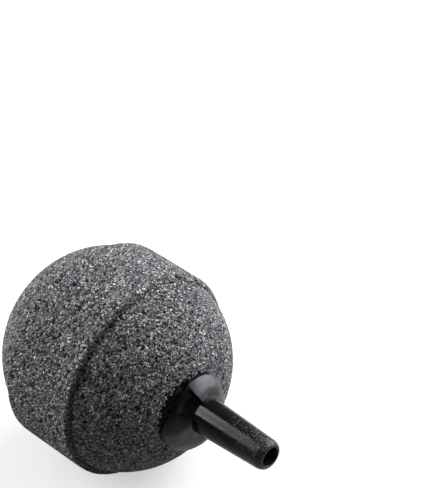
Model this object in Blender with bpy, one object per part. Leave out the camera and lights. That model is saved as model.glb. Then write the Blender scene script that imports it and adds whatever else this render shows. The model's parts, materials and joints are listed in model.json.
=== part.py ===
"""Air stone: a belted ball of porous grit with a hose nipple glued into its bore.

The nipple points along +X. The ball lies on its belt, with one flat of the belt on Z = 0, and the origin is
under the middle of the whole object. Stations are distances along +X from the ball's centre.
"""

import math

import bmesh
import bpy

MM = 0.001
CLEARANCE = 0.3 * MM  # gap between pieces that touch on the real object
WELD = 0.001 * MM  # points closer than this become one

# Driving dimensions: ball
BELT_RADIUS = 15.0 * MM
BELT_HALF_WIDTH = 5.6 * MM
BELT_EDGE_ROUND = 0.6 * MM
BALL_HALF_LENGTH = 15.4 * MM  # from the centre to a pole
DOME_FULLNESS = 2.2  # 2 would be an ellipsoid; a little more is a fuller, squarer dome
STONE_SIDES = 32

# Driving dimensions: nipple
TIP_STATION = 28.4 * MM
TIP_ROUND_LENGTH = 1.2 * MM
TIP_RADIUS = 2.15 * MM
RIM_RADIUS = 1.6 * MM  # outer edge of the flat rim round the mouth
ROOT_STATION = 17.0 * MM
ROOT_RADIUS = 2.63 * MM
SHANK_RADIUS = 2.4 * MM
SHANK_TOP = 14.5 * MM
SHANK_END = 6.5 * MM
GRIP_RINGS = 3
GRIP_RING_HEIGHT = 0.22 * MM
AIR_BORE_RADIUS = 1.3 * MM
NIPPLE_SIDES = 32

# Driving dimensions: bore in the ball, and the air chamber beyond the nipple
GLUE_WALL = 0.7 * MM
CHAMBER_RADIUS = 1.9 * MM
CHAMBER_END = -5.0 * MM
CHAMBER_CONE = 1.2 * MM

# Driving dimensions: bead of adhesive round the nipple's root
BEAD_FOOT_RADIUS = 5.3 * MM
BEAD_HEIGHT = 1.5 * MM
LOBE_FOOT = 0.45 * MM  # how much further the two lobes spread
LOBE_HEIGHT = 0.45 * MM  # how much higher they stand
BIG_LOBE = 0.3 * MM  # how much larger the lower lobe is than the upper one
LOBE_ANGLE = math.radians(21)  # of the upper lobe, from +Z towards +Y
BEAD_CREST_SHARE = 0.4  # where the crest lies, from the nipple to the foot
BEAD_LIP_SHARE = 0.75  # height of the bead against the nipple, as a share of its crest
BEAD_SIDES = 48
BEAD_POINTS = 9

# Where the ball's centre stands
CENTRE_X = (BALL_HALF_LENGTH - TIP_STATION) / 2
CENTRE_Z = BELT_RADIUS * math.cos(math.pi / STONE_SIDES)


def clear_scene():
    for thing in list(bpy.data.objects):
        bpy.data.objects.remove(thing, do_unlink=True)


def make_material(name, colour, roughness):
    material = bpy.data.materials.new(name)
    material.use_nodes = True
    shader = material.node_tree.nodes["Principled BSDF"]
    shader.inputs["Base Color"].default_value = (*colour, 1.0)
    shader.inputs["Roughness"].default_value = roughness
    shader.inputs["Metallic"].default_value = 0.0
    return material


def make_object(name, mesh, material):
    """Turns a bmesh into a smooth-shaded object at the ball's centre."""
    bmesh.ops.remove_doubles(mesh, verts=mesh.verts, dist=WELD)
    bmesh.ops.recalc_face_normals(mesh, faces=mesh.faces)
    data = bpy.data.meshes.new(name)
    mesh.to_mesh(data)
    mesh.free()
    data.materials.append(material)
    data.shade_smooth()
    data.set_sharp_from_angle(angle=math.radians(35))
    thing = bpy.data.objects.new(name, data)
    thing.location = (CENTRE_X, 0, CENTRE_Z)
    bpy.context.scene.collection.objects.link(thing)
    return thing


def turned(outline, sides, closed):
    """Spins (station, radius) points about the X axis, with the middle of one side facing straight down."""
    mesh = bmesh.new()
    half_side = math.pi / sides
    points = [
        mesh.verts.new((station, radius * math.sin(half_side), -radius * math.cos(half_side)))
        for station, radius in outline
    ]
    pairs = list(zip(points, points[1:]))
    if closed:
        pairs.append((points[-1], points[0]))
    lines = [mesh.edges.new(pair) for pair in pairs]
    bmesh.ops.spin(
        mesh, geom=points + lines, cent=(0, 0, 0), axis=(1, 0, 0), angle=2 * math.pi, steps=sides
    )
    return mesh


def dome_radius(station):
    """Radius of the plain ball, without its belt, at a distance along the axis from its centre."""
    share = min(abs(station) / BALL_HALF_LENGTH, 1.0)
    return BELT_RADIUS * (1 - share**DOME_FULLNESS) ** (1 / DOME_FULLNESS)


def dome_station(radius):
    """Distance from the ball's centre at which its dome has this radius."""
    share = radius / BELT_RADIUS
    return BALL_HALF_LENGTH * (1 - share**DOME_FULLNESS) ** (1 / DOME_FULLNESS)


def glue_radius():
    """Outer radius of the adhesive sleeve in the bore."""
    return SHANK_RADIUS + GRIP_RING_HEIGHT + CLEARANCE + GLUE_WALL


def half_ball(end_radius):
    """Outline from the middle of the belt, over its rounded edge, down the dome to a radius near the pole."""
    edge_steps = 3
    dome_steps = 9
    flat_end = BELT_HALF_WIDTH - BELT_EDGE_ROUND
    outline = []
    for step in range(edge_steps + 1):
        turn = math.radians(70) * step / edge_steps
        station = flat_end + BELT_EDGE_ROUND * math.sin(turn)
        radius = BELT_RADIUS - BELT_EDGE_ROUND * (1 - math.cos(turn))
        outline.append((station, radius))
    start_radius = dome_radius(BELT_HALF_WIDTH + BELT_EDGE_ROUND)
    start_turn = math.acos(start_radius / BELT_RADIUS)
    end_turn = math.acos(end_radius / BELT_RADIUS)
    for step in range(dome_steps + 1):
        radius = BELT_RADIUS * math.cos(start_turn + (end_turn - start_turn) * step / dome_steps)
        outline.append((dome_station(radius), radius))
    return outline


def stone_ball(material):
    """Ball of bonded grit, with the blind stepped bore that takes the nipple and its adhesive."""
    bore_radius = glue_radius() + CLEARANCE
    bore_floor = SHANK_END - 2 * CLEARANCE
    back = [(-station, radius) for station, radius in reversed(half_ball(0.0))]
    front = half_ball(bore_radius)
    bore = [
        (bore_floor, bore_radius),
        (bore_floor, CHAMBER_RADIUS),
        (CHAMBER_END, CHAMBER_RADIUS),
        (CHAMBER_END - CHAMBER_CONE, 0.0),
    ]
    mesh = turned(back + front + bore, STONE_SIDES, closed=False)
    return make_object("stone_ball", mesh, material)


def grip_rings():
    """Outline of the buried shank from its top down to its end: a row of barbed rings."""
    pitch = (SHANK_TOP - SHANK_END) / (GRIP_RINGS + 1)
    outline = [(SHANK_TOP, SHANK_RADIUS)]
    for ring in range(GRIP_RINGS):
        crest = SHANK_TOP - (ring + 0.6) * pitch
        outline.append((crest, SHANK_RADIUS))
        outline.append((crest, SHANK_RADIUS + GRIP_RING_HEIGHT))
        outline.append((crest - pitch / 2, SHANK_RADIUS))
    outline.append((SHANK_END, SHANK_RADIUS))
    return outline


def air_nipple(material):
    """Tapered hose nipple with a through bore; its shank sits in the ball."""
    round_steps = 5
    tip = []
    for step in range(round_steps + 1):
        turn = math.pi / 2 * step / round_steps
        station = TIP_STATION - TIP_ROUND_LENGTH * (1 - math.cos(turn))
        radius = RIM_RADIUS + (TIP_RADIUS - RIM_RADIUS) * math.sin(turn)
        tip.append((station, radius))
    root = [(ROOT_STATION, ROOT_RADIUS), (SHANK_TOP, ROOT_RADIUS)]
    bore = [(SHANK_END, AIR_BORE_RADIUS), (TIP_STATION, AIR_BORE_RADIUS)]
    mesh = turned(tip + root + grip_rings() + bore, NIPPLE_SIDES, closed=True)
    return make_object("air_nipple", mesh, material)


def bead_section(angle):
    """Outline of the adhesive at one angle from +Z: the bead's top, then its underside and the sleeve."""
    inner = ROOT_RADIUS + CLEARANCE
    lobe = (1 + math.cos(2 * (angle - LOBE_ANGLE))) / 2
    big = (1 - math.cos(angle - LOBE_ANGLE)) / 2
    foot = BEAD_FOOT_RADIUS + lobe * (LOBE_FOOT + BIG_LOBE * big)
    height = BEAD_HEIGHT + lobe * (LOBE_HEIGHT + BIG_LOBE * big)
    crest = inner + BEAD_CREST_SHARE * (foot - inner)
    top = []
    for step in range(BEAD_POINTS):
        radius = inner + (foot - inner) * math.sin(math.pi / 2 * step / BEAD_POINTS)
        if radius < crest:
            away = (crest - radius) / (crest - inner)
            rise = height * (1 - (1 - BEAD_LIP_SHARE) * away**2)
        else:
            away = (radius - crest) / (foot - crest)
            rise = height * math.sqrt(1 - away**2)
        top.append((dome_station(radius) + CLEARANCE + rise, radius))
    under = [
        (dome_station(radius) + CLEARANCE, radius)
        for radius in (foot, (foot + glue_radius()) / 2, glue_radius())
    ]
    sleeve = [(SHANK_END, glue_radius()), (SHANK_END, inner)]
    return top + under + sleeve


def glue_collar(material):
    """Lumpy bead of adhesive on the ball round the nipple's root, one piece with its sleeve in the bore."""
    mesh = bmesh.new()
    rings = []
    for side in range(BEAD_SIDES):
        angle = 2 * math.pi * side / BEAD_SIDES
        rings.append(
            [
                mesh.verts.new((station, radius * math.sin(angle), radius * math.cos(angle)))
                for station, radius in bead_section(angle)
            ]
        )
    for ring, following in zip(rings, rings[1:] + rings[:1]):
        count = len(ring)
        for index in range(count):
            after = (index + 1) % count
            mesh.faces.new((ring[index], ring[after], following[after], following[index]))
    return make_object("glue_collar", mesh, material)


def main():
    clear_scene()
    stone_ball(make_material("bonded_grit", (0.16, 0.16, 0.165), 0.95))
    air_nipple(make_material("black_plastic", (0.018, 0.018, 0.02), 0.4))
    glue_collar(make_material("black_adhesive", (0.014, 0.013, 0.015), 0.25))


main()
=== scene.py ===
"""Looks of the air stone: porous grit, glossy adhesive and a dusty black nipple, in a pale studio."""

import json
import math

import bmesh
import bpy
import numpy as np
from mathutils import Matrix, Vector, noise


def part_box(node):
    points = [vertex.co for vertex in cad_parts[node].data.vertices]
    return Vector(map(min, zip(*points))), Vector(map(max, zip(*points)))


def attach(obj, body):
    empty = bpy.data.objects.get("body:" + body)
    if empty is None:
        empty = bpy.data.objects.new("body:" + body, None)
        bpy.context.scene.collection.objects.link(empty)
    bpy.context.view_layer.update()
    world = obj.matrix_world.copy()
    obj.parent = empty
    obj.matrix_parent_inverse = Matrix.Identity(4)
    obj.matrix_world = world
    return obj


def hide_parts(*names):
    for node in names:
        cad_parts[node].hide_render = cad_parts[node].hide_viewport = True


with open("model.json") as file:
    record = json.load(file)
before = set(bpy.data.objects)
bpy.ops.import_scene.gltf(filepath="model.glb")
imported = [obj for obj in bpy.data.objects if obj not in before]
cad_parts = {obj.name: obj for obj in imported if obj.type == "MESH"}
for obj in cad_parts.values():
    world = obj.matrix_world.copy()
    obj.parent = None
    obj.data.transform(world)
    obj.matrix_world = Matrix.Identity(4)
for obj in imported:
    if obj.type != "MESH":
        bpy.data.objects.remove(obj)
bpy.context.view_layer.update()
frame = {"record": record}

MM = 0.001

# Places and sizes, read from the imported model
MOUNTS = {mount["name"]: mount for mount in frame["record"]["mounts"]}
STONE_LOW, STONE_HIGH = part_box("stone_ball")
NIPPLE_LOW, NIPPLE_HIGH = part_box("air_nipple")
CENTRE = Vector((MOUNTS["belt_flat"]["pos_m"][0], 0, (STONE_LOW.z + STONE_HIGH.z) / 2))
HALF_LENGTH = CENTRE.x - STONE_LOW.x
BELT_RADIUS = (STONE_HIGH.z - STONE_LOW.z) / 2
TIP_STATION = NIPPLE_HIGH.x - CENTRE.x
SHANK_END = NIPPLE_LOW.x - CENTRE.x

# Ball
DOME_FULLNESS = 2.2
BELT_HALF_WIDTH = 5.7 * MM
BELT_EDGE_ROUND = 0.3 * MM
BELT_WALL = 0.12 * MM  # how far the step from the belt to the dome leans out
WORN_EDGE_ROUND = 1.0 * MM  # the same two where the step is worn down
WORN_WALL = 1.3 * MM
WORN_TURN = math.radians(50)  # the middle of that part, from +Z towards +Y
WORN_REACH = math.radians(25)
WORN_FADE = math.radians(50)
GROOVE_DEPTH = 0.12 * MM  # of the groove along the foot of the step elsewhere
GROOVE_WIDTH = 0.22 * MM
STEP_DETAIL = 2.5  # how much finer the mesh is at the step
STEP_REACH = 0.6 * MM
FIRMNESS = 0.5  # share of the pores' depth that the compact grit at the belt's edge lacks
FIRM_WIDTH = 0.35 * MM
EDGE_HIGHLIGHT_TINT = (1.3, 1.28, 1.15)  # how much lighter the grit is painted along the belt's edge, a painted highlight
CUBE_SIDE = 126  # squares along each side of the six patches that wrap the ball
BORE_RADIUS = 3.6 * MM
CHAMBER_RADIUS = 1.9 * MM
CHAMBER_END = -5.0 * MM

# Grit: packed grains that the surface cuts through
GRAIN = 0.28 * MM
GRAIN_REACH = 0.54  # radius of the smallest grain, in grain spacings
GRAIN_SPREAD = 0.16  # how much more the largest one has
GRAIN_WARP = 0.35
PORE_DEPTH = 0.25 * MM
SKIN = 0.04 * MM  # how far the outermost grains stand above the nominal surface
LAYERS = 8
LOOSENESS = 1.6  # how much the pores' depth varies between open and compact patches of grit
PIT_DEPTH = 0.4 * MM  # of the scattered holes where several grains are missing
PIT_SHARE = 0.66  # the noise value above which there is a pit
CREVICE = 0.12  # how far outside the nearest grain, in grain spacings, the painted crevice shade is fully dark

# Adhesive that has soaked into the grit round the nipple
FACING = math.radians(-43.8)  # the side of the nipple that faces the camera, from +Z towards +Y
SOAK_RADIUS = 5.5 * MM
SOAK_RAGGED = 2.6 * MM
SOAK_LEAN = 0.92 * MM  # the stain's middle lies this far from the nipple's axis
SOAK_LEAN_ANGLE = math.radians(-25)  # and in this direction from the side that faces the camera
INK = (0.004, 0.004, 0.005, 1)
RUST = (0.14, 0.1, 0.07, 1)
RUST_LIMIT = 0.993  # the random number of a grain above which it is rusty

# Bead of adhesive
CENTRE_TO_BEAD = 15.8 * MM  # station of the bead's crest where it is low
BEAD_TURNS = 480
BEAD_STEPS = 44  # points from the nipple to the foot of the bead
BEAD_INNER = 2.6 * MM
BEAD_CREST = 3.4 * MM
BEAD_FOOT = 5.0 * MM
UNDERSIDE = 4.3 * MM  # radius of the ring between the bead's foot and the bore, sunk in the grit
SLEEVE_INNER = 2.75 * MM
SLEEVE_OUTER = BORE_RADIUS - 0.02 * MM
SLEEVE_END = SHANK_END + 0.1 * MM
CLIFF = 4  # degrees of turn over which the upper lobe ends; it hangs over there by half as much again
ADHESIVE_BUMPS = 0.06 * MM
BUMP_SEED = 1  # any fixed number, so that each run gives the same bumps
# painted light: the lighter colour of the adhesive's lobes
PAINTED_LOBE_COLOUR = (0.039, 0.038, 0.045, 1)
COOL_SHEEN = (0.95, 0.935, 1, 1)  # tint of what the adhesive and the nipple mirror

# Nipple
NIPPLE_SIDES = 128
ROOT_STATION = 15.5 * MM
ROOT_RADIUS = 2.66 * MM
SHANK_RADIUS = 2.4 * MM
TIP_RADIUS = 2.15 * MM
TIP_ROUND = 1.2 * MM
RIM_RADIUS = 1.55 * MM
AIR_BORE_RADIUS = 1.38 * MM
LEAD_IN = 0.1 * MM

# Camera: the photograph's side of the ball, the stem pointing right and towards the viewer
VIEW_YAW = math.radians(44.3)
VIEW_PITCH = math.radians(36.7)
VIEW_DISTANCE = 274.9 * MM
VIEW_LENS = 149.2
AIM_RIGHT = 12.823 * MM  # the picture's middle lies this far right of the ball's centre
AIM_UP = 15.475 * MM  # and this far above it

# Studio
LAMP_DISTANCE = 0.6
FLOOR_HALF = 1.5
GREY_END = 45 * MM  # the floor is painted fully grey, a painted shadow, from this far in front of the ball's axis
GREY_FADE = 40 * MM
FLOOR_GREY = 0.16  # its painted shade there, seen only in what the glossy parts mirror
FLOOR_PALE = 0.58  # and elsewhere
LIFT_GREY = 0.9  # the glow that makes both look white to the camera
LIFT_PALE = 0.5
FILL = 0.14
BACKDROP = 1.0


def camera_axes():
    right = Vector((math.cos(VIEW_YAW), math.sin(VIEW_YAW), 0))
    ahead = Vector((-math.sin(VIEW_YAW), math.cos(VIEW_YAW), 0)) * math.cos(VIEW_PITCH)
    ahead.z = -math.sin(VIEW_PITCH)
    return right, right.cross(ahead), ahead


def link(thing):
    bpy.context.scene.collection.objects.link(thing)
    return thing


def make_camera():
    right, up, ahead = camera_axes()
    data = bpy.data.cameras.new("camera")
    data.lens = VIEW_LENS
    data.clip_start = 0.01
    camera = link(bpy.data.objects.new("camera", data))
    camera.location = CENTRE + right * AIM_RIGHT + up * AIM_UP - ahead * VIEW_DISTANCE
    camera.rotation_euler = ahead.to_track_quat("-Z", "Y").to_euler()
    bpy.context.scene.camera = camera


# Node helpers, which work in a shader's tree and in a geometry tree


def add(tree, kind, settings=None, **inputs):
    """Adds a node. Each input is a value or another node's socket; underscores in its name are spaces."""
    node = tree.nodes.new(kind)
    for name, value in (settings or {}).items():
        setattr(node, name, value)
    for name, value in inputs.items():
        socket = node.inputs[int(name[1:])] if name[0] == "_" else node.inputs[name.replace("_", " ")]
        if isinstance(value, bpy.types.NodeSocket):
            tree.links.new(value, socket)
        else:
            socket.default_value = value
    return node


def maths(tree, operation, *values, clamp=False):
    inputs = {f"_{index}": value for index, value in enumerate(values)}
    return add(tree, "ShaderNodeMath", {"operation": operation, "use_clamp": clamp}, **inputs).outputs[0]


def vectors(tree, operation, *values):
    inputs = {f"_{index}": value for index, value in enumerate(values)}
    return add(tree, "ShaderNodeVectorMath", {"operation": operation}, **inputs).outputs[0]


def scaled(tree, vector, factor):
    return add(tree, "ShaderNodeVectorMath", {"operation": "SCALE"}, _0=vector, Scale=factor).outputs[0]


def length(tree, vector):
    return add(tree, "ShaderNodeVectorMath", {"operation": "LENGTH"}, _0=vector).outputs["Value"]


def ramp(tree, value, stops):
    node = add(tree, "ShaderNodeValToRGB", _0=value)
    elements = node.color_ramp.elements
    for place, colour in stops[2:]:
        elements.new(place)
    for element, (place, colour) in zip(elements, stops):
        element.position = place
        element.color = (*colour, 1) if len(colour) == 3 else colour
    return node.outputs[0]


def grey(level):
    return (level, level, level)


def grains(tree, position):
    """The grain that a place belongs to, with lengths in grain spacings.

    Gives how far outside its round core the place is, its offset from the grain's middle and the grain's
    random numbers.
    """
    place = scaled(tree, position, 1 / GRAIN)
    wobble = add(tree, "ShaderNodeTexNoise", Vector=place, Scale=1.3, Detail=1.0)
    shift = vectors(tree, "SUBTRACT", wobble.outputs["Color"], (0.5, 0.5, 0.5))
    warped = vectors(tree, "ADD", place, scaled(tree, shift, 2 * GRAIN_WARP))
    cells = add(tree, "ShaderNodeTexVoronoi", {"feature": "F1"}, Vector=warped, Scale=1.0, Randomness=1.0)
    parts = add(tree, "ShaderNodeSeparateXYZ", _0=cells.outputs["Color"])
    reach = maths(tree, "MULTIPLY_ADD", parts.outputs[0], GRAIN_SPREAD, GRAIN_REACH)
    return {
        "outside": maths(tree, "SUBTRACT", cells.outputs["Distance"], reach),
        "away": vectors(tree, "SUBTRACT", warped, cells.outputs["Position"]),
        "random": [parts.outputs[index] for index in range(3)],
        "place": place,
    }


# Ball


def ball_outline(edge_round, wall):
    """Stations and radii from a pole, down the dome and up the step, to the middle of the belt."""
    turns = np.linspace(0, math.pi / 2, 400)
    stations = HALF_LENGTH * np.cos(turns) ** (2 / DOME_FULLNESS)
    radii = BELT_RADIUS * np.sin(turns) ** (2 / DOME_FULLNESS)
    dome = stations > BELT_HALF_WIDTH + wall
    turns = np.linspace(math.radians(10), math.pi / 2, 8)
    edge_stations = BELT_HALF_WIDTH - edge_round * (1 - np.cos(turns))
    edge_radii = BELT_RADIUS - edge_round * (1 - np.sin(turns))
    flat = np.linspace(edge_stations[-1], 0, 100)[1:]
    return (
        np.concatenate([stations[dome], edge_stations, flat]),
        np.concatenate([radii[dome], edge_radii, np.full_like(flat, BELT_RADIUS)]),
    )


def along_outline(share, edge_round, wall):
    """Stations and radii at shares of the way from pole to belt, which are closest together at the step."""
    stations, radii = ball_outline(edge_round, wall)
    from_step = (stations[1:] - BELT_HALF_WIDTH) / STEP_REACH
    steps = np.hypot(np.diff(stations), np.diff(radii)) * (1 + STEP_DETAIL * np.exp(-(from_step**2)))
    length = np.concatenate([[0], np.cumsum(steps)])
    return np.interp(share, length / length[-1], stations), np.interp(share, length / length[-1], radii)


def on_ball(direction):
    """The points of the ball's surface in unit directions from its centre, and how worn its step is there."""
    away = np.hypot(direction[:, 1], direction[:, 2])
    share = np.arctan2(away, abs(direction[:, 0])) / (math.pi / 2)
    from_worn = abs(np.angle(np.exp(1j * (np.arctan2(direction[:, 1], direction[:, 2]) - WORN_TURN))))
    wear = 1 - np.clip((from_worn - WORN_REACH) / WORN_FADE, 0, 1)
    wear = wear * wear * (3 - 2 * wear)
    station, radius = along_outline(share, BELT_EDGE_ROUND, BELT_WALL)
    worn_station, worn_radius = along_outline(share, WORN_EDGE_ROUND, WORN_WALL)
    past_step = station - (BELT_HALF_WIDTH + BELT_WALL)
    groove = GROOVE_DEPTH * np.exp(-((past_step / GROOVE_WIDTH) ** 2)) * (past_step > 0)
    station += (worn_station - station) * wear
    radius += (worn_radius - radius) * wear - groove * (1 - wear)
    radius /= np.maximum(away, 1e-9)
    station *= np.sign(direction[:, 0])
    return np.stack([station, direction[:, 1] * radius, direction[:, 2] * radius], axis=1), wear


def ball_mesh():
    """The ball's nominal surface, wrapped in six square patches that are also its six bake islands."""
    steps = np.tan(np.linspace(-1, 1, CUBE_SIDE + 1) * math.pi / 4)
    share = np.linspace(0, 1, CUBE_SIDE + 1)
    across, along = np.meshgrid(steps, steps, indexing="ij")
    u_share, v_share = np.meshgrid(share, share, indexing="ij")
    ones = np.ones_like(across)
    patches = [
        (ones, across, along),
        (-ones, -across, along),
        (-across, ones, along),
        (across, -ones, along),
        (-along, across, ones),
        (along, across, -ones),
    ]
    corners = np.array([(0, 0), (1, 0), (1, 1), (0, 1)])
    first = np.arange(CUBE_SIDE)
    rows, columns = np.meshgrid(first, first, indexing="ij")
    points, faces, uvs, wears = [], [], [], []
    for number, patch in enumerate(patches):
        direction = np.stack([axis.ravel() for axis in patch], axis=1)
        direction /= np.linalg.norm(direction, axis=1)[:, None]
        places, wear = on_ball(direction)
        points.append(places + np.array(CENTRE))
        wears.append(wear)
        index = [(rows.ravel() + i) * (CUBE_SIDE + 1) + columns.ravel() + j for i, j in corners]
        quads = np.stack(index, axis=1)
        faces.append(quads + number * (CUBE_SIDE + 1) ** 2)
        left, low = (number % 3) / 3, (number // 3) * 0.47
        u = left + 0.005 + 0.323 * u_share.ravel()
        v = low + 0.005 + 0.46 * v_share.ravel()
        uvs.append(np.stack([u, v], axis=1)[quads])
    mesh = bpy.data.meshes.new("stone")
    mesh.from_pydata(np.concatenate(points), [], np.concatenate(faces).tolist())
    layer = mesh.uv_layers.new(name="OFBake")
    layer.data.foreach_set("uv", np.concatenate(uvs).reshape(-1).astype(np.float32))
    attribute = mesh.attributes.new("wear", "FLOAT", "POINT")
    attribute.data.foreach_set("value", np.concatenate(wears).astype(np.float32))
    work = bmesh.new()
    work.from_mesh(mesh)
    bmesh.ops.remove_doubles(work, verts=work.verts, dist=GRAIN / 100)
    bmesh.ops.recalc_face_normals(work, faces=work.faces)
    work.to_mesh(mesh)
    work.free()
    mesh.shade_smooth()
    return mesh


def band_share(tree, position, middle, half_width):
    """1 at a distance either way from the ball's middle plane, fading to 0 on both sides of that."""
    station = maths(tree, "SUBTRACT", add(tree, "ShaderNodeSeparateXYZ", _0=position).outputs[0], CENTRE.x)
    away = maths(tree, "SUBTRACT", maths(tree, "ABSOLUTE", station), middle)
    share = maths(tree, "POWER", maths(tree, "DIVIDE", maths(tree, "ABSOLUTE", away), half_width), 2.0)
    return maths(tree, "POWER", math.e, maths(tree, "MULTIPLY", share, -1.0))


def grit_modifier():
    """Geometry nodes that sink each point to the outermost grain under it, and note how deep it lies."""
    tree = bpy.data.node_groups.new("grit", "GeometryNodeTree")
    tree.interface.new_socket("Geometry", in_out="INPUT", socket_type="NodeSocketGeometry")
    tree.interface.new_socket("Geometry", in_out="OUTPUT", socket_type="NodeSocketGeometry")
    start = tree.nodes.new("NodeGroupInput")
    end = tree.nodes.new("NodeGroupOutput")
    position = add(tree, "GeometryNodeInputPosition").outputs[0]
    normal = add(tree, "GeometryNodeInputNormal").outputs[0]
    step = (PORE_DEPTH + SKIN) / (LAYERS - 1)
    heights = [step * layer - PORE_DEPTH for layer in range(LAYERS)]
    outside = []
    for height in heights:
        sample = vectors(tree, "ADD", position, scaled(tree, normal, height))
        outside.append(grains(tree, sample)["outside"])
    found = -PORE_DEPTH
    for layer in range(LAYERS - 1):
        below, above = outside[layer], outside[layer + 1]
        rise = maths(tree, "MAXIMUM", maths(tree, "SUBTRACT", above, below), 0.001)
        part = maths(tree, "DIVIDE", maths(tree, "MULTIPLY", below, -1.0), rise, clamp=True)
        crossing = maths(tree, "MULTIPLY_ADD", part, step, heights[layer])
        solid = maths(tree, "LESS_THAN", below, 0.0)
        kept = maths(tree, "MULTIPLY", maths(tree, "SUBTRACT", 1.0, solid), found)
        found = maths(tree, "MULTIPLY_ADD", crossing, solid, kept)
    firm = band_share(tree, position, BELT_HALF_WIDTH - FIRM_WIDTH, FIRM_WIDTH)
    softness = maths(tree, "MULTIPLY_ADD", firm, -FIRMNESS, 1.0)
    patches = add(tree, "ShaderNodeTexNoise", Vector=position, Scale=0.9 / MM, Detail=2.0).outputs[0]
    loose = maths(tree, "MULTIPLY_ADD", patches, LOOSENESS, 0.9 - LOOSENESS / 2)
    height = maths(tree, "MULTIPLY", found, maths(tree, "MULTIPLY", softness, loose))
    holes = add(tree, "ShaderNodeTexNoise", Vector=position, Scale=1.3 / MM, Detail=1.0).outputs[0]
    pit = maths(tree, "DIVIDE", maths(tree, "SUBTRACT", holes, PIT_SHARE), 0.05, clamp=True)
    height = maths(tree, "MULTIPLY_ADD", pit, -PIT_DEPTH, height)
    moved = add(
        tree, "GeometryNodeSetPosition", Geometry=start.outputs[0], Offset=scaled(tree, normal, height)
    )
    depth = maths(tree, "DIVIDE", maths(tree, "SUBTRACT", SKIN, height), PORE_DEPTH + SKIN)
    stored = add(
        tree,
        "GeometryNodeStoreNamedAttribute",
        {"data_type": "FLOAT", "domain": "POINT"},
        Geometry=moved.outputs[0],
        Name="pore",
        Value=depth,
    )
    tree.links.new(stored.outputs[0], end.inputs[0])
    return tree


def turned_mesh(name, outline, sides, closed=False):
    """Spins (station, radius) points about the nipple's axis."""
    work = bmesh.new()
    points = [work.verts.new((station, 0, radius)) for station, radius in outline]
    pairs = list(zip(points, points[1:])) + ([(points[-1], points[0])] if closed else [])
    lines = [work.edges.new(pair) for pair in pairs]
    bmesh.ops.spin(
        work, geom=points + lines, cent=(0, 0, 0), axis=(1, 0, 0), angle=2 * math.pi, steps=sides
    )
    bmesh.ops.remove_doubles(work, verts=work.verts, dist=0.001 * MM)
    bmesh.ops.recalc_face_normals(work, faces=work.faces)
    bmesh.ops.translate(work, verts=work.verts, vec=CENTRE)
    mesh = bpy.data.meshes.new(name)
    work.to_mesh(mesh)
    work.free()
    mesh.shade_smooth()
    return mesh


def bore_cutter():
    past_the_dome = HALF_LENGTH + 2 * MM
    outline = [
        (past_the_dome, 0),
        (past_the_dome, BORE_RADIUS),
        (SHANK_END, BORE_RADIUS),
        (SHANK_END, CHAMBER_RADIUS),
        (CHAMBER_END, CHAMBER_RADIUS),
        (CHAMBER_END - CHAMBER_RADIUS / 2, 0),
    ]
    mesh = turned_mesh("bore", outline, 48)
    layer = mesh.uv_layers.new(name="OFBake")
    corner = np.tile(np.array([0.1, 0.97], np.float32), len(mesh.loops))  # a spare patch of the ball's bake
    corner += np.random.default_rng(1).uniform(0, 0.02, corner.shape)
    layer.data.foreach_set("uv", corner)
    return link(bpy.data.objects.new("bore", mesh))


def bake_modifiers(thing):
    """Gives an object the mesh that its modifiers make."""
    bpy.context.view_layer.update()
    evaluated = thing.evaluated_get(bpy.context.evaluated_depsgraph_get())
    made = bpy.data.meshes.new_from_object(evaluated)
    thing.modifiers.clear()
    thing.data = made


def clean_cut(mesh):
    """Takes out the spare points that a cut leaves along its edges, and splits its many-sided faces."""
    work = bmesh.new()
    work.from_mesh(mesh)
    spare = [point for point in work.verts if len(point.link_edges) == 2]
    bmesh.ops.dissolve_verts(work, verts=spare)
    many_sided = [face for face in work.faces if len(face.verts) > 4]
    bmesh.ops.triangulate(work, faces=many_sided)
    work.to_mesh(mesh)
    work.free()


def make_stone():
    stone = link(bpy.data.objects.new("grit_ball", ball_mesh()))
    sink = stone.modifiers.new("grit", "NODES")
    sink.node_group = grit_modifier()
    cutter = bore_cutter()
    cut = stone.modifiers.new("bore", "BOOLEAN")
    cut.operation = "DIFFERENCE"
    cut.object = cutter
    bake_modifiers(stone)
    clean_cut(stone.data)
    bpy.data.objects.remove(cutter, do_unlink=True)
    stone.data.materials.clear()
    stone.data.materials.append(grit_material())
    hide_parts("stone_ball")
    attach(stone, "root")


def new_material(name):
    material = bpy.data.materials.new(name)
    material.use_nodes = True
    tree = material.node_tree
    return material, tree, tree.nodes["Principled BSDF"]


def multiplied(tree, first, second):
    node = add(tree, "ShaderNodeMix", {"data_type": "RGBA", "blend_type": "MULTIPLY"}, _6=first, _7=second)
    node.inputs[0].default_value = 1
    return node.outputs[2]


def soaked_share(tree, position):
    """1 where adhesive has soaked the grit round the bead's foot, 0 elsewhere."""
    lean = FACING + SOAK_LEAN_ANGLE
    middle = CENTRE + Vector((0, math.sin(lean), math.cos(lean))) * SOAK_LEAN
    away = vectors(tree, "SUBTRACT", position, tuple(middle))
    radius = length(tree, vectors(tree, "MULTIPLY", away, (0, 1, 1)))
    ragged = add(tree, "ShaderNodeTexNoise", Vector=position, Scale=1.6 / MM, Detail=3.0).outputs[0]
    edge = maths(tree, "MULTIPLY_ADD", ragged, SOAK_RAGGED, SOAK_RADIUS - SOAK_RAGGED / 2)
    inside = maths(tree, "DIVIDE", maths(tree, "SUBTRACT", edge, radius), 0.2 * MM, clamp=True)
    front = maths(tree, "GREATER_THAN", add(tree, "ShaderNodeSeparateXYZ", _0=away).outputs[0], 0.0)
    return maths(tree, "MULTIPLY", inside, front)


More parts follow.
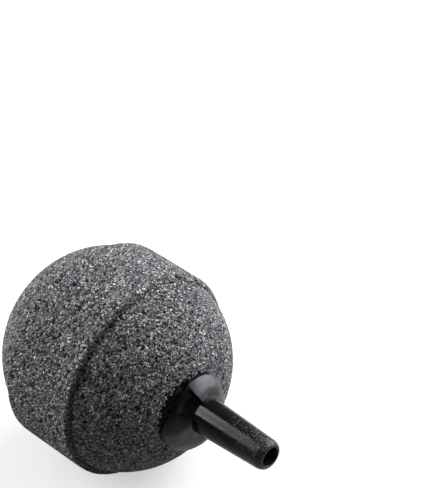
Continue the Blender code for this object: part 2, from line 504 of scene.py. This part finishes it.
def grit_material():
    material, tree, shader = new_material("bonded_grit")
    position = add(tree, "ShaderNodeTexCoord").outputs["Object"]
    grain = grains(tree, position)
    tone = ramp(
        tree,
        grain["random"][1],
        [
            (0.0, grey(0.04)),
            (0.35, grey(0.13)),
            (0.75, grey(0.24)),
            (0.93, grey(0.42)),
            (1.0, grey(0.6)),
        ],
    )
    crystal = add(
        tree, "ShaderNodeTexVoronoi", {"feature": "F1"}, Vector=scaled(tree, grain["place"], 2.3), Scale=1.0
    ).outputs["Color"]
    facets = add(tree, "ShaderNodeSeparateXYZ", _0=crystal)
    glints = [(0.0, grey(0.03)), (0.5, grey(0.75)), (0.85, grey(1.7)), (1.0, grey(3.2))]
    sparkle = ramp(tree, facets.outputs[0], glints)
    patches = add(tree, "ShaderNodeTexNoise", Vector=position, Scale=0.45 / MM, Detail=4.0, Roughness=0.65)
    tint = ramp(
        tree,
        patches.outputs[0],
        [
            (0.35, (0.78, 0.8, 0.9)),
            (0.5, (0.99, 1.0, 1.08)),
            (0.62, (1.12, 1.12, 1.12)),
            (0.72, (1.22, 1.15, 1.02)),
        ],
    )
    depth = add(tree, "ShaderNodeAttribute", {"attribute_name": "pore"}).outputs["Fac"]
    # painted shade: the deeper a point lies in the pores, the darker its colour, standing in for the shadow
    # down there
    shade = ramp(tree, depth, [(0.2, grey(1.08)), (0.6, grey(0.06))])
    # painted shade: the colour darkens between the grains, where shadow falls in the crevices
    gap = maths(tree, "DIVIDE", grain["outside"], CREVICE, clamp=True)
    painted_crevice_shade = ramp(tree, gap, [(0.0, grey(1.0)), (1.0, grey(0.06))])
    # painted highlight: the grit is painted lighter in a band along the belt's edges
    edge = band_share(tree, position, BELT_HALF_WIDTH - 0.35 * MM, 0.3 * MM)
    painted_edge_highlight = ramp(tree, edge, [(0.2, grey(1)), (1, EDGE_HIGHLIGHT_TINT)])
    # painted shade: the grit is painted darker at the foot of the step, where it is not worn down
    foot = band_share(tree, position, BELT_HALF_WIDTH + 0.13 * MM, 0.19 * MM)
    wear = add(tree, "ShaderNodeAttribute", {"attribute_name": "wear"}).outputs["Fac"]
    crisp = maths(tree, "MULTIPLY", foot, maths(tree, "SUBTRACT", 1.0, wear))
    painted_step_shade = ramp(tree, crisp, [(0.1, grey(1)), (1, grey(0.35))])
    colour = tone
    for factor in (sparkle, tint, shade, painted_crevice_shade, painted_edge_highlight, painted_step_shade):
        colour = multiplied(tree, colour, factor)
    rusty = maths(tree, "GREATER_THAN", grain["random"][2], RUST_LIMIT)
    colour = add(tree, "ShaderNodeMix", {"data_type": "RGBA"}, Factor=rusty, _6=colour, _7=RUST)
    soaked = soaked_share(tree, position)
    inky = add(tree, "ShaderNodeMix", {"data_type": "RGBA"}, Factor=soaked, _6=colour.outputs[2], _7=INK)
    tree.links.new(inky.outputs[2], shader.inputs["Base Color"])
    tree.links.new(maths(tree, "MULTIPLY_ADD", soaked, -0.4, 0.5), shader.inputs["Specular IOR Level"])
    tree.links.new(maths(tree, "MULTIPLY_ADD", facets.outputs[1], 0.6, 0.25), shader.inputs["Roughness"])
    geometry = add(tree, "ShaderNodeNewGeometry").outputs["Normal"]
    round_side = scaled(tree, vectors(tree, "NORMALIZE", grain["away"]), 0.8)
    facet = scaled(tree, vectors(tree, "SUBTRACT", crystal, (0.5, 0.5, 0.5)), 1.0)
    mixed = vectors(tree, "ADD", vectors(tree, "ADD", geometry, round_side), facet)
    tree.links.new(vectors(tree, "NORMALIZE", mixed), shader.inputs["Normal"])
    return material


# Adhesive


def smooth(value):
    x = min(max(value, 0), 1)
    return x * x * (3 - 2 * x)


def plateau(angle, middle, half_width, softness):
    """1 within a stretch of the circle, falling to 0 past its ends over the softness, all in degrees."""
    away = abs((angle - middle + 180) % 360 - 180)
    return smooth((half_width + softness / 2 - away) / softness)


def dome_station(radius):
    share = min(radius / BELT_RADIUS, 1)
    return HALF_LENGTH * (1 - share**DOME_FULLNESS) ** (1 / DOME_FULLNESS)


def upper_lobe(turn, step):
    """1 on the upper lobe, which ends steeply on the camera's side, and 0 away from it."""
    degrees = math.degrees(turn)
    steep_end = smooth((degrees - 36 + 12 * step) / CLIFF) if degrees < 200 else 0
    return steep_end * plateau(degrees, 62, 66, 56)


def lower_lobe(turn):
    return plateau(math.degrees(turn), -104, 67, 40)


def bead_point(turn, step):
    """A point of the bead's top: turn runs round the nipple from the camera's side, step from nipple to foot.

    Two thick lobes stand above and below the nipple, and the bead is low between them on the camera's side.
    """
    degrees = math.degrees(turn)
    upper = upper_lobe(turn, step)
    lower = lower_lobe(turn)
    back = plateau(degrees, 172, 18, 50)
    foot = BEAD_FOOT + (1.1 * lower - 0.4 * back) * MM
    crest = BEAD_CREST + (-0.4 * upper + 0.9 * lower + 0.1 * back) * MM
    lip = 0.5 * upper * smooth((70 - degrees) / 50)
    crest_station = CENTRE_TO_BEAD + (0.8 * upper + lip + 0.85 * lower + 0.5 * back) * MM
    rim_station = CENTRE_TO_BEAD + (1.05 - 0.1 * upper - 0.25 * plateau(degrees, -150, 55, 25)) * MM
    overhang = 1.5 * CLIFF * upper * min(4 * (1 - step), 1)
    angle = FACING + turn - math.radians(overhang)
    if step < 0.5:
        share = 1 - 2 * step
        radius = crest + (BEAD_INNER - crest) * share
        return crest_station + (rim_station - crest_station) * share**2, radius, angle
    share = math.sin(math.pi / 2 * (2 * step - 1))
    radius = crest + (foot - crest) * share
    fullness = 0.4 + 0.5 * upper - 0.12 * lower
    height = (crest_station - dome_station(crest)) * max(1 - share ** (2 + 0.5 * upper), 0) ** fullness
    return dome_station(radius) + height, radius, angle


def sleeve_outline():
    """Stations and radii from under the bead's foot, down the bore and back up beside the nipple."""
    return [
        (dome_station(UNDERSIDE) - 0.35 * MM, UNDERSIDE),
        (dome_station(BORE_RADIUS) - 0.4 * MM, SLEEVE_OUTER),
        (SLEEVE_END, SLEEVE_OUTER),
        (SLEEVE_END, SLEEVE_INNER),
        (dome_station(BORE_RADIUS) - 0.6 * MM, SLEEVE_INNER),
    ]


def make_collar():
    """The bead and the sleeve below it in the bore, one closed skin."""
    noise.seed_set(BUMP_SEED)
    work = bmesh.new()
    painted_lobe_light = work.verts.layers.float.new("painted_lobe_light")
    rings = []
    for side in range(BEAD_TURNS):
        turn = 2 * math.pi * side / BEAD_TURNS
        outline = [bead_point(turn, step / (BEAD_STEPS - 1)) for step in range(BEAD_STEPS)]
        outline += [(station, radius, FACING + turn) for station, radius in sleeve_outline()]
        ring = []
        for station, radius, angle in outline:
            place = Vector((station, radius * math.sin(angle), radius * math.cos(angle)))
            if station > dome_station(radius):
                place += noise.noise_vector(place / (1.3 * MM)) * ADHESIVE_BUMPS
            ring.append(work.verts.new(CENTRE + place))
            # marks the lobes, whose colour is painted lighter as painted light
            ring[-1][painted_lobe_light] = max(upper_lobe(turn, 0.5), lower_lobe(turn))
        rings.append(ring)
    for ring, following in zip(rings, rings[1:] + rings[:1]):
        for index in range(len(ring)):
            after = (index + 1) % len(ring)
            work.faces.new((ring[index], ring[after], following[after], following[index]))
    bmesh.ops.recalc_face_normals(work, faces=work.faces)
    mesh = bpy.data.meshes.new("adhesive")
    work.to_mesh(mesh)
    work.free()
    mesh.shade_smooth()
    mesh.materials.append(adhesive_material())
    collar = link(bpy.data.objects.new("adhesive_bead", mesh))
    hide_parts("glue_collar")
    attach(collar, "root")


def adhesive_material():
    """Glossy black adhesive, its lobes painted lighter as painted light, and rougher."""
    material, tree, shader = new_material("black_adhesive")
    position = add(tree, "ShaderNodeTexCoord").outputs["Object"]
    cloud = add(tree, "ShaderNodeTexNoise", Vector=position, Scale=0.8 / MM, Detail=4.0).outputs[0]
    fine = add(tree, "ShaderNodeTexNoise", Vector=position, Scale=9 / MM, Detail=2.0).outputs[0]
    share = add(tree, "ShaderNodeAttribute", {"attribute_name": "painted_lobe_light"}).outputs["Fac"]
    # painted light on the lobes: their colour is lifted from ink towards grey; they are also rougher
    painted_lobe_light = maths(tree, "MULTIPLY", share, maths(tree, "MULTIPLY_ADD", cloud, 0.8, 0.4))
    base = add(tree, "ShaderNodeMix", {"data_type": "RGBA"}, Factor=painted_lobe_light, _6=INK, _7=PAINTED_LOBE_COLOUR)
    tree.links.new(base.outputs[2], shader.inputs["Base Color"])
    clean = maths(tree, "MULTIPLY_ADD", cloud, 0.2, 0.2)
    tree.links.new(maths(tree, "MULTIPLY_ADD", painted_lobe_light, 0.12, clean), shader.inputs["Roughness"])
    tree.links.new(maths(tree, "MULTIPLY_ADD", share, 0.3, 0.2), shader.inputs["Specular IOR Level"])
    shader.inputs["Specular Tint"].default_value = COOL_SHEEN
    bump = add(tree, "ShaderNodeBump", Strength=0.15, Distance=0.01 * MM, Height=fine)
    tree.links.new(bump.outputs[0], shader.inputs["Normal"])
    return material


# Nipple


def nipple_outline():
    """Stations and radii from the buried end, up the outside and round the mouth."""
    outline = [
        (SHANK_END, AIR_BORE_RADIUS),
        (SHANK_END, SHANK_RADIUS),
        (ROOT_STATION - 2 * MM, SHANK_RADIUS),
        (ROOT_STATION - 1.8 * MM, ROOT_RADIUS),
    ]
    steps = 24
    for step in range(steps + 1):
        share = step / steps
        station = ROOT_STATION + (TIP_STATION - TIP_ROUND - ROOT_STATION) * share
        outline.append((station, ROOT_RADIUS + (TIP_RADIUS - ROOT_RADIUS) * share))
    steps = 12
    for step in range(1, steps + 1):
        turn = math.pi / 2 * step / steps
        station = TIP_STATION - TIP_ROUND * (1 - math.sin(turn))
        outline.append((station, RIM_RADIUS + (TIP_RADIUS - RIM_RADIUS) * math.cos(turn)))
    outline.append((TIP_STATION, AIR_BORE_RADIUS + LEAD_IN))
    outline.append((TIP_STATION - LEAD_IN, AIR_BORE_RADIUS))
    return outline


def make_nipple():
    mesh = turned_mesh("nipple", nipple_outline(), NIPPLE_SIDES, closed=True)
    mesh.set_sharp_from_angle(angle=math.radians(40))
    mesh.materials.append(nipple_material())
    nipple = link(bpy.data.objects.new("hose_nipple", mesh))
    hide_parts("air_nipple")
    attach(nipple, "root")


def nipple_material():
    """Satin black plastic, glossy at its root, with grit dust on it that thickens towards the mouth."""
    material, tree, shader = new_material("black_plastic")
    position = add(tree, "ShaderNodeTexCoord").outputs["Object"]
    cloud = add(tree, "ShaderNodeTexNoise", Vector=position, Scale=0.6 / MM, Detail=5.0).outputs[0]
    fine = add(tree, "ShaderNodeTexNoise", Vector=position, Scale=12 / MM, Detail=2.0).outputs[0]
    crumbs = add(tree, "ShaderNodeTexNoise", Vector=position, Scale=4.5 / MM, Detail=3.0, Roughness=0.7)
    parts = add(tree, "ShaderNodeSeparateXYZ", _0=position)
    along = maths(tree, "SUBTRACT", parts.outputs[0], CENTRE.x + ROOT_STATION)
    towards_tip = maths(tree, "DIVIDE", along, TIP_STATION - ROOT_STATION, clamp=True)
    thicker = maths(tree, "POWER", towards_tip, 1.7)
    haze = maths(tree, "MULTIPLY", thicker, maths(tree, "MULTIPLY", cloud, 1.2))
    side = maths(tree, "DIVIDE", maths(tree, "SUBTRACT", parts.outputs[2], CENTRE.z), TIP_RADIUS, clamp=True)
    reach = maths(tree, "MULTIPLY_ADD", side, 0.07, maths(tree, "MULTIPLY", towards_tip, 0.19))
    limit = maths(tree, "SUBTRACT", 0.79, reach)
    specks = maths(tree, "DIVIDE", maths(tree, "SUBTRACT", crumbs.outputs[0], limit), 0.05, clamp=True)
    dust = maths(tree, "MAXIMUM", specks, maths(tree, "MULTIPLY", haze, 0.08))
    base = ramp(tree, cloud, [(0.3, grey(0.002)), (0.7, grey(0.004))])
    colour = add(tree, "ShaderNodeMix", {"data_type": "RGBA"}, Factor=dust, _6=base, _7=(*grey(0.2), 1))
    tree.links.new(colour.outputs[2], shader.inputs["Base Color"])
    rough = maths(tree, "MULTIPLY_ADD", cloud, 0.1, 0.07)
    rougher = maths(tree, "MULTIPLY_ADD", haze, 0.4, rough)
    tree.links.new(maths(tree, "MULTIPLY_ADD", specks, 0.4, rougher), shader.inputs["Roughness"])
    shader.inputs["Specular IOR Level"].default_value = 0.31
    shader.inputs["Specular Tint"].default_value = COOL_SHEEN
    grained = maths(tree, "MULTIPLY_ADD", specks, 2.0, fine)
    bump = add(tree, "ShaderNodeBump", Strength=0.2, Distance=0.015 * MM, Height=grained)
    tree.links.new(bump.outputs[0], shader.inputs["Normal"])
    return material


# Studio


def make_floor():
    """A pale floor with a painted shadow in front of the ball, seen in what the glossy parts mirror but not
    by the camera.
    """
    mesh = bpy.data.meshes.new("floor")
    corners = [(x * FLOOR_HALF, y * FLOOR_HALF, 0) for x, y in ((-1, -1), (1, -1), (1, 1), (-1, 1))]
    mesh.from_pydata(corners, [], [(0, 1, 2, 3)])
    floor = link(bpy.data.objects.new("floor", mesh))
    floor.visible_diffuse = False  # its bounce would wash out the dark underside
    material, tree, shader = new_material("pale_floor")
    position = add(tree, "ShaderNodeTexCoord").outputs["Object"]
    place = add(tree, "ShaderNodeSeparateXYZ", _0=position)
    behind = maths(tree, "DIVIDE", maths(tree, "ADD", place.outputs[1], GREY_END), GREY_FADE, clamp=True)
    # painted shadow in front of the ball, for the glossy parts to mirror
    shade = maths(tree, "MULTIPLY_ADD", behind, FLOOR_PALE - FLOOR_GREY, FLOOR_GREY)
    tree.links.new(shade, shader.inputs["Base Color"])
    shader.inputs["Roughness"].default_value = 0.9
    shader.inputs["Emission Color"].default_value = (1, 1, 1, 1)
    seen = add(tree, "ShaderNodeLightPath").outputs["Is Camera Ray"]
    near_lift = maths(tree, "MULTIPLY_ADD", behind, LIFT_PALE - LIFT_GREY, LIFT_GREY)
    far = maths(tree, "MULTIPLY_ADD", length(tree, position), 2.0, -0.3, clamp=True)
    lift = maths(tree, "MULTIPLY_ADD", far, maths(tree, "SUBTRACT", BACKDROP, near_lift), near_lift)
    tree.links.new(maths(tree, "MULTIPLY", seen, lift), shader.inputs["Emission Strength"])
    mesh.materials.append(material)


def softbox(name, azimuth, elevation, size, power, height_along=(0, 0, 1)):
    """A lamp that looks at the ball from a direction, given in degrees from +X and from the floor."""
    data = bpy.data.lights.new(name, "AREA")
    data.shape = "RECTANGLE"
    data.size, data.size_y = size
    data.energy = power
    lamp = link(bpy.data.objects.new(name, data))
    around, up = math.radians(azimuth), math.radians(elevation)
    away = Vector((math.cos(up) * math.cos(around), math.cos(up) * math.sin(around), math.sin(up)))
    across = Vector(height_along).cross(away).normalized()
    lamp.location = CENTRE + away * LAMP_DISTANCE
    lamp.rotation_euler = Matrix((across, away.cross(across), away)).transposed().to_euler()


def make_world():
    """Dim light from all around, and a pale backdrop where the camera looks past the floor."""
    world = bpy.data.worlds.new("studio")
    world.use_nodes = True
    tree = world.node_tree
    backdrop = add(tree, "ShaderNodeBackground", Color=(1, 1, 1, 1), Strength=BACKDROP)
    fill = tree.nodes["Background"]
    fill.inputs["Color"].default_value = (1, 1, 1, 1)
    fill.inputs["Strength"].default_value = FILL
    seen = add(tree, "ShaderNodeLightPath").outputs["Is Camera Ray"]
    both = add(tree, "ShaderNodeMixShader", _0=seen, _1=fill.outputs[0], _2=backdrop.outputs[0])
    tree.links.new(both.outputs[0], tree.nodes["World Output"].inputs[0])
    bpy.context.scene.world = world


def make_studio():
    make_floor()
    make_world()
    softbox("key", 77, 34, (0.6, 0.68), 7.1)
    softbox("left", 202, 18, (0.35, 0.3), 2.95)
    softbox("strip", 226, 46, (0.08, 0.56), 1.1, height_along=(0, 0.82, 0.57))
    bpy.context.scene.view_settings.view_transform = "Standard"


make_camera()
make_studio()
make_stone()
make_collar()
make_nipple()
